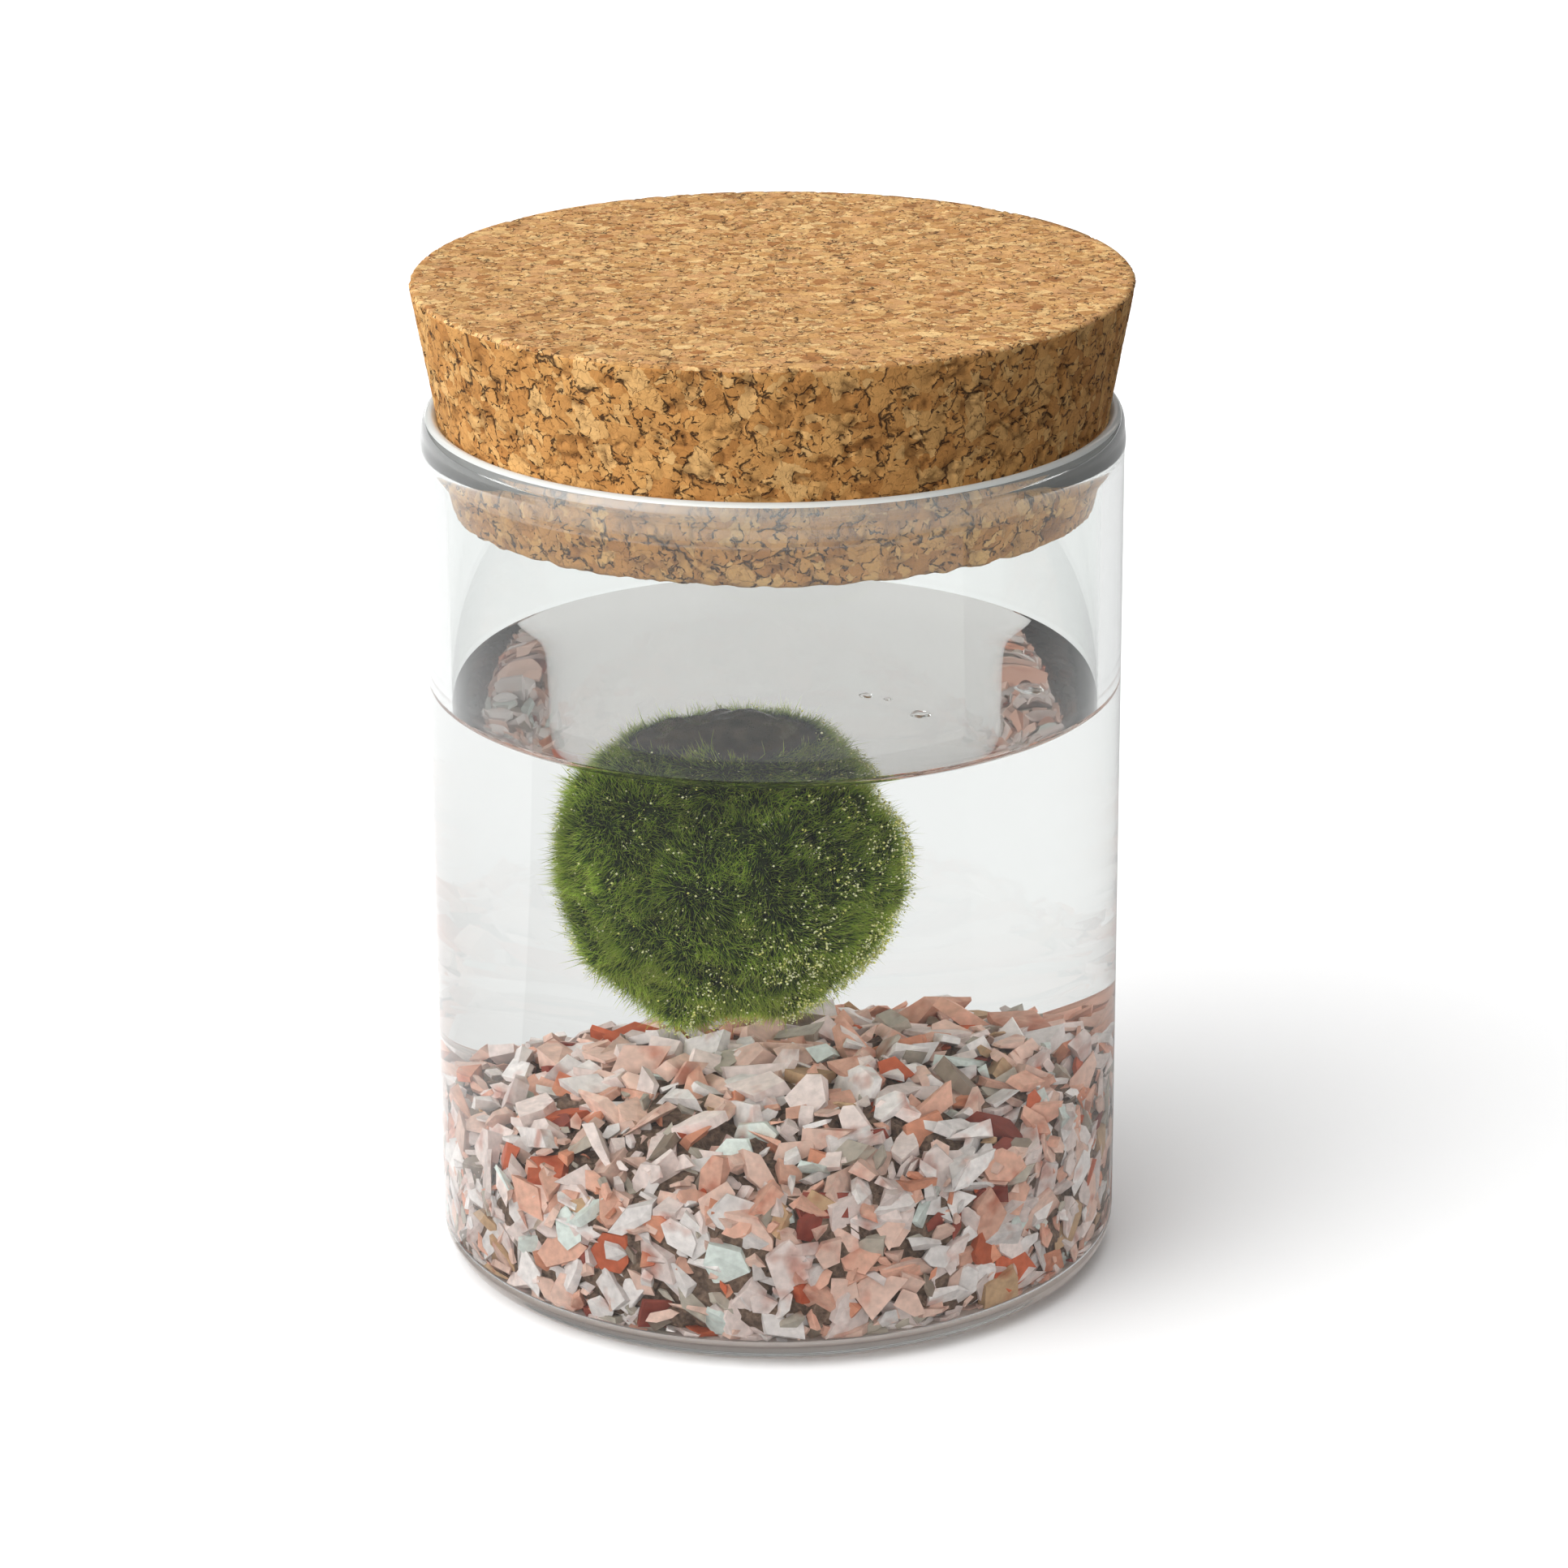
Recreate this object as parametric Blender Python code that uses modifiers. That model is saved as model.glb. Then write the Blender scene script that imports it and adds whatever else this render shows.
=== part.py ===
"""Marimo moss ball afloat in a corked glass jar, over a heap of crushed coral and shell.

Metres, +Z up. The origin is the centre of the jar's base, on the surface that it stands on.
The jar's front is -Y: the moss ball floats there, close behind the glass.
"""

import math
import random

import bmesh
import bpy
from mathutils import Matrix, Vector, noise

# Driving dimensions.
JAR_RADIUS = 0.0400
JAR_HEIGHT = 0.1019
WALL = 0.0026
FLOOR = 0.0018
HEEL_RADIUS = 0.0036
FLOOR_FILLET = 0.0024
MOUTH_DEPTH = 0.0070
RIM_THICKNESS = 0.0016

CORK_TOP_RADIUS = 0.0410
CORK_BOTTOM_RADIUS = 0.0364
CORK_ABOVE_RIM = 0.0152
CORK_BELOW_RIM = 0.0102
CORK_EDGE = 0.0005

WATER_BELOW_RIM = 0.0326

# The heap: its crown's height and place, and how it falls away to its edge.
BED_CROWN_HEIGHT = 0.0300
BED_CROWN_AT = (0.004, -0.004)
BED_EDGE_HEIGHT = 0.0140
BED_REACH = 0.0374
BED_FALL = 2.4

# Its chips: flat plates over the heap, set by their directions from the middle of its foot.
# Shake and lowest are parts of a unit direction, inset is the share that a corner draws in,
# and each plate stands proud or sunk by up to the relief, with up to the lean as a slope.
CHIPS = 360
CHIP_SHAKE = 0.045
CHIP_LOWEST = 0.05
CHIP_INSET = 0.13
CHIP_RELIEF = 0.0008
CHIP_LEAN = 0.26
FOOT_POINTS = 72
WATER_CLEARANCE = 0.0026
HALVINGS = 24

BALL_CENTRE = (-0.0040, -0.0155, 0.0535)
BALL_RADII = (0.0170, 0.0168, 0.0178)

GAP = 0.0003
POCKET_GAP = 0.0019
BALL_DETAIL = 4
POCKET_DETAIL = 3
SEGMENTS = 48
FILLET_STEPS = 3
RIM_STEPS = 6
SEED = 11

# Lobes and dents of the moss ball: direction from its centre, height, angular width.
BALL_LOBES = (
    ((-0.85, -0.35, 0.42), 0.0039, 0.36),
    ((-0.60, 0.05, 0.80), 0.0022, 0.30),
    ((-0.95, -0.10, -0.25), 0.0010, 0.34),
    ((-0.70, -0.15, -0.68), 0.0015, 0.30),
    ((-0.26, -0.15, -0.96), 0.0030, 0.20),
    ((0.00, -0.20, -0.98), -0.0032, 0.14),
    ((0.22, -0.20, -0.96), 0.0014, 0.17),
    ((0.70, -0.25, -0.68), -0.0006, 0.36),
    ((0.85, 0.15, 0.50), -0.0012, 0.26),
    ((0.15, 0.90, -0.10), 0.0010, 0.45),
    ((-0.55, 0.75, 0.25), -0.0012, 0.35),
)
TUFT_HEIGHT = 0.0007
TUFT_SCALE = 260.0

# What follows from them.
BORE = JAR_RADIUS - WALL
FILL_RADIUS = BORE - GAP
WATER_LEVEL = JAR_HEIGHT - WATER_BELOW_RIM
CORK_TOP = JAR_HEIGHT + CORK_ABOVE_RIM
CORK_BOTTOM = JAR_HEIGHT - CORK_BELOW_RIM
FLOOR_TOP = FLOOR + GAP
FILLET_RADIUS = FLOOR_FILLET - GAP
FILLET_AT = (BORE - FLOOR_FILLET, FLOOR + FLOOR_FILLET)


def clear_scene():
    """Remove whatever the file opened with."""
    for thing in list(bpy.data.objects):
        bpy.data.objects.remove(thing, do_unlink=True)


def new_collection(name):
    """A collection linked to the scene."""
    collection = bpy.data.collections.new(name)
    bpy.context.scene.collection.children.link(collection)
    return collection


def material(name, colour, roughness, transmission=0.0, ior=1.5):
    """A Principled material with the part's plain finish."""
    mat = bpy.data.materials.new(name)
    mat.use_nodes = True
    shader = mat.node_tree.nodes["Principled BSDF"]
    shader.inputs["Base Color"].default_value = (*colour, 1.0)
    shader.inputs["Roughness"].default_value = roughness
    shader.inputs["Metallic"].default_value = 0.0
    shader.inputs["Transmission Weight"].default_value = transmission
    shader.inputs["IOR"].default_value = ior
    mat.diffuse_color = (*colour, 1.0)
    return mat


def add_object(name, mesh, collection, mat=None):
    """Put a mesh in the scene as a named object."""
    thing = bpy.data.objects.new(name, mesh)
    collection.objects.link(thing)
    if mat is not None:
        mesh.materials.clear()
        mesh.materials.append(mat)
    return thing


def as_cutter(thing):
    """Mark an object as one that only shapes other pieces."""
    thing.hide_render = True
    thing.display_type = "WIRE"
    return thing


def mesh_from(bm, name):
    """Turn a bmesh into a mesh and free it."""
    mesh = bpy.data.meshes.new(name)
    bm.to_mesh(mesh)
    bm.free()
    return mesh


def arc(centre, radius, start, end, steps):
    """Points of an arc in the XZ plane, with both ends. Angles are in degrees from +X."""
    points = []
    for i in range(steps + 1):
        angle = math.radians(start + (end - start) * i / steps)
        x = centre[0] + radius * math.cos(angle)
        z = centre[1] + radius * math.sin(angle)
        points.append((x, z))
    return points


def turned(name, profile, collection, mat=None):
    """Turn an open profile in the XZ plane about the Z axis."""
    mesh = bpy.data.meshes.new(name)
    edges = [(i, i + 1) for i in range(len(profile) - 1)]
    mesh.from_pydata([(x, 0.0, z) for x, z in profile], edges, [])
    thing = add_object(name, mesh, collection, mat)
    screw = thing.modifiers.new("turn", "SCREW")
    screw.axis = "Z"
    screw.angle = math.tau
    screw.steps = SEGMENTS
    screw.render_steps = SEGMENTS
    screw.use_merge_vertices = True
    screw.merge_threshold = 1e-6
    screw.use_smooth_shade = True
    return thing


def applied(thing):
    """Replace an object's mesh by its evaluated one, with no modifiers left."""
    graph = bpy.context.evaluated_depsgraph_get()
    mesh = bpy.data.meshes.new_from_object(thing.evaluated_get(graph))
    old = thing.data
    thing.modifiers.clear()
    thing.data = mesh
    bpy.data.meshes.remove(old)
    mesh.name = thing.name
    return thing


def boolean(thing, operation, cutter):
    """Add an exact Boolean."""
    modifier = thing.modifiers.new(operation.lower(), "BOOLEAN")
    modifier.operation = operation
    modifier.solver = "EXACT"
    modifier.object = cutter


def smooth(thing, degrees):
    """Shade smooth, with edges sharper than the angle kept crisp."""
    thing.data.shade_smooth()
    thing.data.set_sharp_from_angle(angle=math.radians(degrees))


def jar_profile():
    """From the middle of the floor, up inside, over the rim, down outside to the base."""
    rim = RIM_THICKNESS / 2
    heel_at = (JAR_RADIUS - HEEL_RADIUS, HEEL_RADIUS)
    points = [(0.0, FLOOR)]
    points += arc(FILLET_AT, FLOOR_FILLET, -90, 0, FILLET_STEPS)
    points.append((BORE, JAR_HEIGHT - MOUTH_DEPTH))
    points += arc((JAR_RADIUS - rim, JAR_HEIGHT - rim), rim, 180, 0, RIM_STEPS)
    points += arc(heel_at, HEEL_RADIUS, 0, -90, FILLET_STEPS + 1)
    points.append((0.0, 0.0))
    return points


def cork_profile():
    """From the middle of the top, down the taper, to the middle of the bottom."""
    edge = CORK_EDGE
    return [
        (0.0, CORK_TOP),
        (CORK_TOP_RADIUS - edge, CORK_TOP),
        (CORK_TOP_RADIUS, CORK_TOP - edge),
        (CORK_BOTTOM_RADIUS, CORK_BOTTOM + edge),
        (CORK_BOTTOM_RADIUS - edge, CORK_BOTTOM),
        (0.0, CORK_BOTTOM),
    ]


def cylinder_profile(radius, top, bottom, rings=1):
    """A closed cylinder, with rings of vertices across its top."""
    points = [(radius * i / rings, top) for i in range(rings + 1)]
    return points + [(radius, bottom), (0.0, bottom)]


def filling_profile():
    """What fills the jar up to the water level, a gap clear of the glass all round."""
    points = [(0.0, WATER_LEVEL), (FILL_RADIUS, WATER_LEVEL)]
    points += arc(FILLET_AT, FILLET_RADIUS, 0, -90, FILLET_STEPS)
    points.append((0.0, FLOOR_TOP))
    return points


def bed_height(x, y):
    """Height of the gravel heap above the base: crowned off-centre and falling to the glass."""
    from_crown = math.hypot(x - BED_CROWN_AT[0], y - BED_CROWN_AT[1])
    drop = (BED_CROWN_HEIGHT - BED_EDGE_HEIGHT) * (from_crown / BED_REACH) ** BED_FALL
    return BED_CROWN_HEIGHT - drop


def over_bed(collection, rings=6):
    """What the heap keeps free of water: a turned disc with its top a little above the heap."""
    mark = 1.0
    thing = turned("over_bed", cylinder_profile(JAR_RADIUS, mark, 0.0, rings), collection)
    applied(thing)
    thing.data.transform(Matrix.Rotation(math.pi / SEGMENTS, 4, "Z"))
    for vert in thing.data.vertices:
        if vert.co.z > mark / 2:
            vert.co.z = bed_height(vert.co.x, vert.co.y) + WATER_CLEARANCE
    return as_cutter(thing)


def inside_glass(point):
    """Whether a point is a gap clear of the jar's wall, its floor and the fillet between."""
    radius = math.hypot(point.x, point.y)
    if radius > FILL_RADIUS or point.z < FLOOR_TOP:
        return False
    past_wall = radius - FILLET_AT[0]
    below = FILLET_AT[1] - point.z
    return past_wall < 0.0 or below < 0.0 or math.hypot(past_wall, below) <= FILLET_RADIUS


def in_heap(point):
    """Whether a point is inside the smooth heap."""
    return inside_glass(point) and point.z <= bed_height(point.x, point.y)


def furthest(middle, way, allowed):
    """The last point from the middle along a way, found by halving, that is still allowed."""
    near, far = 0.0, 1.0
    for _ in range(HALVINGS):
        half = (near + far) / 2
        if allowed(middle + way * half):
            near = half
        else:
            far = half
    return middle + way * near


def out_of_heap(point):
    """The way out of the heap at a point of its surface: up through its top, or sideways."""
    top = point.z > bed_height(point.x, point.y) - GAP
    return Vector((0.0, 0.0, 1.0)) if top else Vector((point.x, point.y, 0.0)).normalized()


def chip_ways():
    """Directions of the chips from the heap's middle: an even golden spiral, shaken a little."""
    rng = random.Random(SEED)
    turn = math.pi * (3.0 - math.sqrt(5.0))
    ways = []
    for i in range(CHIPS):
        z = 1.0 - (i + 0.5) / CHIPS
        flat = math.sqrt(1.0 - z * z)
        way = Vector((flat * math.cos(i * turn), flat * math.sin(i * turn), z))
        way += Vector([rng.uniform(-CHIP_SHAKE, CHIP_SHAKE) for _ in range(3)])
        way.z = max(way.z, CHIP_LOWEST)
        ways.append(way.normalized())
    return ways


def foot_ways():
    """Directions of the points round the heap's foot."""
    angles = [math.tau * i / FOOT_POINTS for i in range(FOOT_POINTS)]
    return [Vector((math.cos(angle), math.sin(angle), 0.0)) for angle in angles]


def hull_of(ways):
    """A mesh over directions, and its vertices in the same order."""
    bm = bmesh.new()
    verts = [bm.verts.new(way) for way in ways]
    bmesh.ops.convex_hull(bm, input=verts)
    return bm, verts


def chip_corners(ways):
    """Each chip's corners, as pairs of its number and a direction a little inside its edge."""
    bm, verts = hull_of(ways + foot_ways())
    chip_of = {vert: i for i, vert in enumerate(verts[: len(ways)])}
    corners = []
    for face in bm.faces:
        meeting = face.normal
        for vert in face.verts:
            if vert in chip_of and meeting.z > 0.0:
                corner = meeting.lerp(ways[chip_of[vert]], CHIP_INSET).normalized()
                corners.append((chip_of[vert], corner))
    bm.free()
    return corners


def chip_faces(ways, middle):
    """Each chip's place on the heap, how far it stands proud, and how it leans."""
    rng = random.Random(SEED)
    faces = []
    for way in ways:
        lean = Vector([rng.uniform(-CHIP_LEAN, CHIP_LEAN) for _ in range(3)])
        faces.append((furthest(middle, way, in_heap), rng.uniform(-CHIP_RELIEF, CHIP_RELIEF), lean))
    return faces


def bed_mesh():
    """The heap: a flat foot, and over it chips with flat faces that stand proud or sunk."""
    middle = Vector((0.0, 0.0, FLOOR_TOP + GAP))
    ways = chip_ways()
    faces = chip_faces(ways, middle)
    corners = chip_corners(ways)
    bm, verts = hull_of([corner for _, corner in corners] + foot_ways())
    for vert, (chip, corner) in zip(verts, corners):
        place, lift, lean = faces[chip]
        point = furthest(middle, corner, in_heap)
        point = point + out_of_heap(point) * (lift + lean.dot(point - place))
        vert.co = point if inside_glass(point) else furthest(middle, point - middle, inside_glass)
    for vert in verts[len(corners) :]:
        vert.co = Vector((vert.co.x * FILLET_AT[0], vert.co.y * FILLET_AT[0], FLOOR_TOP))
    unused = [vert for vert in verts if not vert.link_faces]
    bmesh.ops.delete(bm, geom=unused, context="VERTS")
    return mesh_from(bm, "gravel_bed")


def ball_reach(direction, grown):
    """Distance from the moss ball's centre to its surface of hair tips, in a direction."""
    unit = Vector(direction).normalized()
    scaled = Vector([unit[i] / BALL_RADII[i] for i in range(3)])
    reach = 1.0 / scaled.length + grown
    for towards, height, width in BALL_LOBES:
        angle = unit.angle(Vector(towards))
        reach += height * math.exp(-((angle / width) ** 2))
    tuft = noise.noise(unit * BALL_RADII[0] * TUFT_SCALE)
    return reach + TUFT_HEIGHT * tuft


def ball_mesh(name, detail, grown=0.0):
    """The lumpy ball, as a divided icosphere moved out to its tips, and further by grown."""
    bm = bmesh.new()
    bmesh.ops.create_icosphere(bm, subdivisions=detail, radius=1.0)
    for vert in bm.verts:
        unit = vert.co.normalized()
        vert.co = Vector(BALL_CENTRE) + unit * ball_reach(unit, grown)
    return mesh_from(bm, name)


def build_jar(collection):
    """Clear straight-sided jar with a round rim and a mouth eased for the stopper."""
    glass = material("clear_glass", (0.93, 0.96, 0.95), 0.02, 1.0, 1.5)
    jar = turned("glass_jar", jar_profile(), collection, glass)
    applied(jar)
    smooth(jar, 30)


def build_cork(collection):
    """Tapered stopper of pressed cork granules, standing proud of the rim."""
    cork = material("pressed_cork", (0.62, 0.40, 0.21), 0.85)
    stopper = turned("cork_stopper", cork_profile(), collection, cork)
    applied(stopper)
    smooth(stopper, 30)


def build_bed(collection):
    """Heap of crushed coral and shell chips, lying as one against the glass."""
    gravel = material("crushed_coral", (0.80, 0.62, 0.55), 0.70)
    add_object("gravel_bed", bed_mesh(), collection, gravel)


def build_water(collection, cutters):
    """Still water over the heap, with the ball's pocket open at the surface."""
    clear = material("clear_water", (0.95, 0.97, 0.97), 0.0, 1.0, 1.333)
    water = turned("water", filling_profile(), collection, clear)
    hollow = ball_mesh("ball_pocket", POCKET_DETAIL, POCKET_GAP)
    pocket = as_cutter(add_object("ball_pocket", hollow, cutters))
    boolean(water, "DIFFERENCE", over_bed(cutters))
    boolean(water, "DIFFERENCE", pocket)
    applied(water)
    smooth(water, 30)


def build_ball(collection):
    """The moss ball: one soft lumpy thing, as far out as its filaments reach."""
    moss = material("moss", (0.12, 0.22, 0.05), 0.9)
    ball = add_object("moss_ball", ball_mesh("moss_ball", BALL_DETAIL), collection, moss)
    ball.data.shade_smooth()


def main():
    """Build every piece."""
    clear_scene()
    pieces = new_collection("marimo_jar")
    cutters = new_collection("cutters")
    build_jar(pieces)
    build_cork(pieces)
    build_bed(pieces)
    build_water(pieces, cutters)
    build_ball(pieces)


main()
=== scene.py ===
"""Looks of a marimo moss ball afloat in a corked glass jar over crushed coral.

Metres, +Z up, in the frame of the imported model. The front is -Y.
"""

import math

import bmesh
import bpy
import numpy as np
from mathutils import Euler, Matrix, Vector, noise
from mathutils.bvhtree import BVHTree


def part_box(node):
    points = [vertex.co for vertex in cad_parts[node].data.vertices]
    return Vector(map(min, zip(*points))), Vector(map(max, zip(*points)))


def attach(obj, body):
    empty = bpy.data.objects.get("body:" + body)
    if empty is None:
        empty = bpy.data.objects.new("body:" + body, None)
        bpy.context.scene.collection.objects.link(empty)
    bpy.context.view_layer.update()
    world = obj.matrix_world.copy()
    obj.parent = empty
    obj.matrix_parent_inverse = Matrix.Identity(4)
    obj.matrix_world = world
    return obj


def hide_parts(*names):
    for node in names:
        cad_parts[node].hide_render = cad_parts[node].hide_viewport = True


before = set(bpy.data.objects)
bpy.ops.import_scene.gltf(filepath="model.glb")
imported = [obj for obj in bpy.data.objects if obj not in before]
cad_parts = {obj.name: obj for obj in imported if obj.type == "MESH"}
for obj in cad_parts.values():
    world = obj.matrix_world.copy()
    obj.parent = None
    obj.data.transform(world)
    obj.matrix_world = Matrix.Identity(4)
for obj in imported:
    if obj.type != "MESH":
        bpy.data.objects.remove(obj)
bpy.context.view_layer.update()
MM = 0.001
TINY = 0.01 * MM
SEED = 7
noise.seed_set(SEED)  # Blender's vector noise is otherwise seeded by the clock.

# Sizes that follow from the frame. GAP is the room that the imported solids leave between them.
_, JAR_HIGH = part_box("glass_jar")
CORK_LOW, CORK_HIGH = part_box("cork_stopper")
_, WATER_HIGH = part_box("water")
BALL_LOW, BALL_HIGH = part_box("moss_ball")
BED_LOW, BED_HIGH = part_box("gravel_bed")
GAP = 0.3 * MM
JAR_RADIUS = JAR_HIGH.x
RIM = JAR_HIGH.z
BORE = WATER_HIGH.x + GAP
FLOOR = BED_LOW.z - GAP
WATER_LEVEL = WATER_HIGH.z
CORK_TOP = CORK_HIGH.z
CORK_BOTTOM = CORK_LOW.z
CORK_TOP_RADIUS = CORK_HIGH.x

# The jar's own sizes: its corners, its flared mouth, its rounded lip and the bead under it,
# the share of the lip that is the crest, painted most light, and how high the floor's painted pale face
# lies.
HEEL_RADIUS = 3.6 * MM
FLOOR_FILLET = 2.4 * MM
MOUTH_DEPTH = 4.6 * MM
MOUTH_ARC = 8.0 * MM
LIP_HEIGHT = 1.9 * MM
BEAD = 0.14 * MM
BEAD_DEPTH = 5.0 * MM
CREST_SHARE = 0.22
PALE_FLOOR_HEIGHT = 0.8 * MM

# The jar's looks in the order of its material slots: name, tint, index over that of what the
# face borders on, and the share of light that passes.
GLASS_IOR = 1.5
WATER_IOR = 1.333
GLASS_LOOKS = (
    ("clear_glass", (0.945, 0.965, 0.955), GLASS_IOR, 1.0),
    ("wet_glass", (0.995, 0.998, 0.996), GLASS_IOR / WATER_IOR, 1.0),
    # The crest, lip and mouth pass only part of the light and scatter the rest pale. This is painted
    # light that brightens the rim where clear glass shows dark.
    ("crest_painted_light", (0.95, 0.985, 0.96), GLASS_IOR, 0.45),
    ("lip_painted_light", (0.96, 0.99, 0.97), GLASS_IOR, 0.87),
    ("mouth_painted_light", (0.96, 0.99, 0.97), GLASS_IOR, 0.93),
    # The floor's inner face is painted pale pink and lets little light through. This is painted light
    # that keeps the base from showing dark.
    ("floor_painted_pale", (0.84, 0.72, 0.66), GLASS_IOR / WATER_IOR, 0.30),
)
DRY, WET, CREST, LIP, MOUTH, PALE_FLOOR = range(len(GLASS_LOOKS))

# The stopper: its sizes, its granules' length and how many crumbs go to it, and its tones.
CORK_BOTTOM_RADIUS = 36.4 * MM
CORK_EDGE = 0.35 * MM
GRANULE = 2.5 * MM
TOP_GRANULE = 0.55 * GRANULE
CRUMBS = 2.1
CORK_SIDE_TONES = ((176, 120, 62), (194, 138, 76), (202, 147, 84), (208, 156, 92), (222, 176, 114))
CORK_TOP_TONES = ((158, 106, 60), (188, 142, 86), (196, 148, 100), (204, 160, 102), (224, 188, 132))
CORK_SEAM = (120, 74, 34)
CORK_PORE = (96, 58, 28)
# The crevice and dent tones are painted shade where joints stand open and the side is sunk.
CORK_CREVICE_SHADE = (44, 24, 10)
CORK_DENT_SHADE = (74, 42, 18)

# The water: its open level, how high and from how far it climbs the glass, how far it stands
# off it, and how softly it closes over the ball in mm. The surface's index and tint aren't
# water's own, but give the calm grey look of the photograph.
OPEN_LEVEL = WATER_LEVEL - 1.2 * MM
MENISCUS = 1.9 * MM
MENISCUS_REACH = 1.9 * MM
CONTACT = OPEN_LEVEL + MENISCUS
STAND_OFF = 0.02 * MM
FILM_EASE = 0.30
SURFACE_IOR = 1.08
# The surface's tint is painted shade: it darkens everything seen through the water's top.
SURFACE_SHADE_TINT = (0.50, 0.475, 0.455)

# Drops on the water as x, y and size in mm, and their form.
DROPLETS = ((29.5, -2.0, 1.7), (16.5, -10.5, 1.1), (10.5, -3.5, 0.8), (13.0, -4.5, 0.5))
DROPLET_FORM = (1.0, 0.62, 0.34)

# The moss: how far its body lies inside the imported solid, and its filaments as name, count,
# length, width, how far they stray from their locks and how bright their tips are. Then how
# deep they root, their tones on screen from root to tip, and the low index of wet things.
FUZZ = 1.5 * MM
FILAMENTS = (
    ("moss_fuzz_short", 60000, 1.2 * MM, 0.085 * MM, 0.45, 0.50),
    ("moss_fuzz_long", 56000, 2.1 * MM, 0.066 * MM, 0.35, 1.0),
    ("moss_fuzz_stray", 10000, 2.9 * MM, 0.080 * MM, 0.42, 1.0),
)
ROOT_DEPTH = 0.15 * MM
# From painted shade at the root, through the moss's own green, to painted glow at the tip.
HAIR_SHADE_TO_GLOW_TONES = ((0.0, (40, 50, 34)), (0.30, (84, 106, 54)), (0.52, (182, 216, 80)), (1.0, (255, 255, 150)))
WET_INDEX = 1.12

# Oxygen bubbles: how many, their least size and its spread, and their least height over the
# body and its spread, in mm.
BUBBLES = 4200
BUBBLE_SIZE = (0.07, 0.11)
BUBBLE_LIFT = (1.5, 0.6)

# The heap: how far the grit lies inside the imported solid, how deep each layer of chips lies
# in mm and how many places are tried for it, and how far chips lean in radians.
GRIT_DEPTH = 1.1 * MM
TOP_SUNK = (0.0, 0.7, 1.4)
WALL_SUNK = (0.1, 0.8, 1.5)
FLOOR_LIFT = (0.3, 0.9)
TOP_TRIES = 4000
WALL_TRIES = 4000
FLOOR_TRIES = 3000
TOP_LEAN = 0.50
WALL_LEAN = 0.36
FLOOR_LEAN = 0.22

# Chips: their forms, half-lengths in mm as median, spread, least and most, how much room each
# keeps from its like, how far they stay off the glass, and their tints on screen with shares.
CHIP_FORMS = 40
CHIP_SIZES = (1.85, 0.42, 0.6, 3.6)
CHIP_ROOM = 0.62
CHIP_OFF_WALL = 0.12 * MM
CHIP_CLEARANCE = 0.10 * MM
CHIP_TINTS = (
    ((242, 234, 231), 21),
    ((240, 222, 216), 24),
    ((236, 200, 184), 22),
    ((232, 180, 158), 12),
    ((224, 154, 124), 5),
    ((206, 108, 76), 3),
    ((152, 78, 66), 2),
    ((190, 180, 166), 6),
    ((226, 234, 228), 3),
    ((204, 168, 132), 3),
    ((150, 134, 120), 3),
)

# The photograph's view: a long lens from about 20 degrees above, in its own pixels.
PHOTO_SIDE = 1932
FOCAL_PIXELS = 6444
CAMERA_PLACE = Vector((1.0, -574.6, 261.9)) * MM
CAMERA_PITCH = math.radians(19.71)
CAMERA_ROLL = math.radians(-0.33)

# The lamps: soft lobes from overhead, the left front and low on the left, as directions,
# strengths and focus. Dry things are lit by them, and mirror them with an even shine.
LAMPS = (
    (Vector((-0.17, 0.0, 0.98)), 2.65, 4.0),
    (Vector((-0.66, -0.56, 0.50)), 3.8, 8.0),
    (Vector((-0.90, -0.42, 0.12)), 3.4, 6.0),
)
SHINE = 0.30

# Clear things show an even tent instead, brighter at the left and back, and what is inside
# the jar is lit by a brighter one. Each has a level, a slope and a share of the lamps' glow.
TENT = (0.76, Vector((-0.22, 0.30, 0.0)), 0.25)
INSIDE = (1.68, Vector((-0.08, 0.32, 0.22)), 0.45)

# The stage: the radii of the floor, of a wide card and of a near one, and the cards' hole.
FLOOR_REACH = 3.0
WIDE_REACH = 1.5
NEAR_REACH = 0.245
CARD_HOLE = JAR_RADIUS + MM


# -------- node helpers


def fill(tree, node, sockets):
    """Set a node's inputs. One that is given another node's socket is linked to it."""
    for name, value in sockets.items():
        if isinstance(value, bpy.types.NodeSocket):
            tree.links.new(value, node.inputs[name])
        else:
            node.inputs[name].default_value = value
    return node


def add(tree, kind, sockets=None, **settings):
    """A new node with its settings and inputs."""
    made = tree.nodes.new(kind)
    for name, value in settings.items():
        setattr(made, name, value)
    return fill(tree, made, sockets or {})


def math_node(tree, operation, a, b):
    """One Math node's value."""
    return add(tree, "ShaderNodeMath", {0: a, 1: b}, operation=operation).outputs[0]


def times(tree, a, b):
    """The product of two values."""
    return math_node(tree, "MULTIPLY", a, b)


def blend(tree, factor, a, b, mode="MIX"):
    """Two colours mixed by a factor."""
    sockets = {0: factor, 6: a, 7: b}
    return add(tree, "ShaderNodeMix", sockets, data_type="RGBA", blend_type=mode).outputs[2]


def choose(tree, which, first, second):
    """The first value where a switch is 0 and the second where it is 1."""
    return add(tree, "ShaderNodeMix", {0: which, 2: first, 3: second}).outputs[0]


def remap(tree, value, low, high, to_low=0.0, to_high=1.0):
    """A value's stretch from low to high taken to another, and clamped."""
    sockets = {0: value, 1: low, 2: high, 3: to_low, 4: to_high}
    return add(tree, "ShaderNodeMapRange", sockets, clamp=True).outputs[0]


def ramp(tree, factor, stops):
    """A colour ramp through (place, colour on screen) stops."""
    made = add(tree, "ShaderNodeValToRGB", {0: factor})
    elements = made.color_ramp.elements
    while len(elements) < len(stops):
        elements.new(0.5)
    for element, (place, colour) in zip(elements, stops):
        element.position = place
        element.color = (*srgb(*colour), 1.0)
    return made.outputs[0]


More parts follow.
